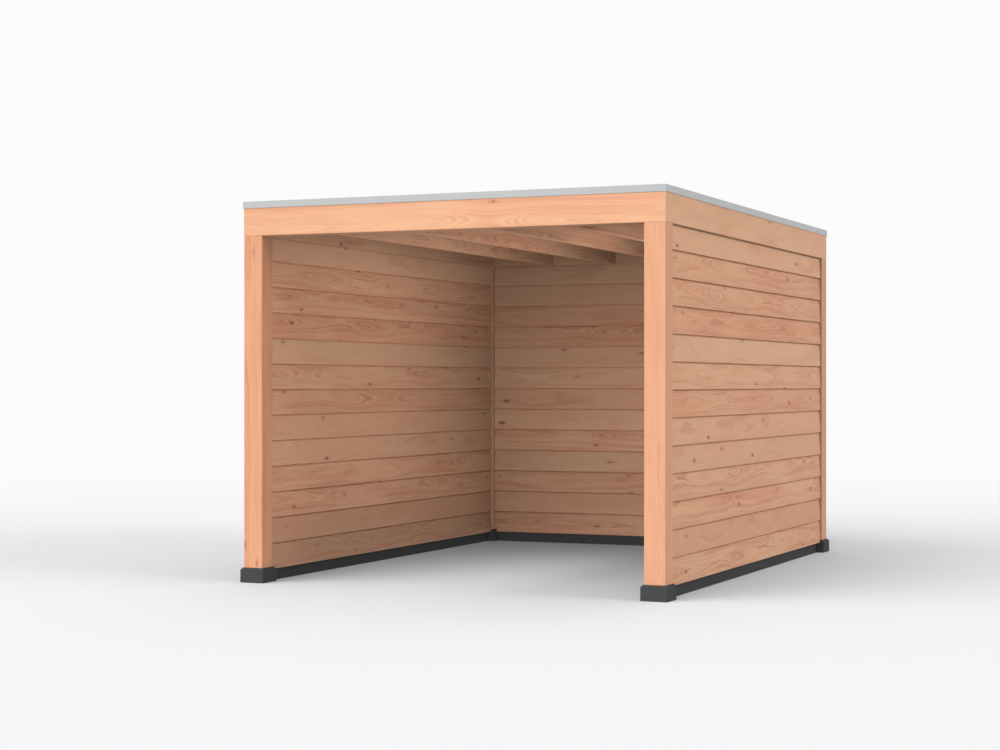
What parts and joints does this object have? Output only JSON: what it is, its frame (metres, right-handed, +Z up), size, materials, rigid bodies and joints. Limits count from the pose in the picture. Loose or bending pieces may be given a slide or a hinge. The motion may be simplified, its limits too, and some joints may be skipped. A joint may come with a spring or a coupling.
{
  "type": "wooden garden canopy",
  "caption": "Open-fronted flat-roofed timber garden canopy on square posts, with boarded side and rear walls, roof joists and an aluminium roof edge.",
  "frame": {"origin": "on the ground, at the centre of the footprint over the feet", "axes": "+X to the right when facing the open front, +Y from the open front towards the rear wall, +Z up"},
  "size_m": [3.04, 4.04, 2.572],
  "materials": {
    "footing": "matt anthracite cast concrete",
    "plinth": "matt anthracite cast concrete",
    "post": "planed softwood, clear oil, matt",
    "beam": "planed softwood, clear oil, matt",
    "joist": "planed softwood, clear oil, matt",
    "roof_deck": "planed softwood boards, clear oil, matt",
    "wall_frame": "sawn softwood, untreated",
    "cladding": "planed softwood boards, clear oil, matt",
    "roofing_sheet": "matt dark grey roofing sheet",
    "edge_trim": "satin mill aluminium"
  },
  "bodies": {
    "root": {"foot_front_left": "footing", "foot_front_right": "footing", "foot_rear_left": "footing", "foot_rear_right": "footing", "plinth_left": "plinth", "plinth_right": "plinth", "plinth_rear": "plinth", "post_front_left": "post", "post_front_right": "post", "post_rear_left": "post", "post_rear_right": "post", "beam_front": "beam", "beam_rear": "beam", "beam_left": "beam", "beam_right": "beam", "joist_outer_left": "joist", "joist_inner_left": "joist", "joist_inner_right": "joist", "joist_outer_right": "joist", "roof_deck": "roof_deck", "roof_membrane": "roofing_sheet", "trim_front": "edge_trim", "trim_rear": "edge_trim", "trim_left": "edge_trim", "trim_right": "edge_trim", "wall_frame_left": "wall_frame", "wall_frame_right": "wall_frame", "wall_frame_rear": "wall_frame", "cladding_left_outer": "cladding", "cladding_left_inner": "cladding", "cladding_right_outer": "cladding", "cladding_right_inner": "cladding", "cladding_rear_outer": "cladding", "cladding_rear_inner": "cladding"}
  },
  "joints": []
}
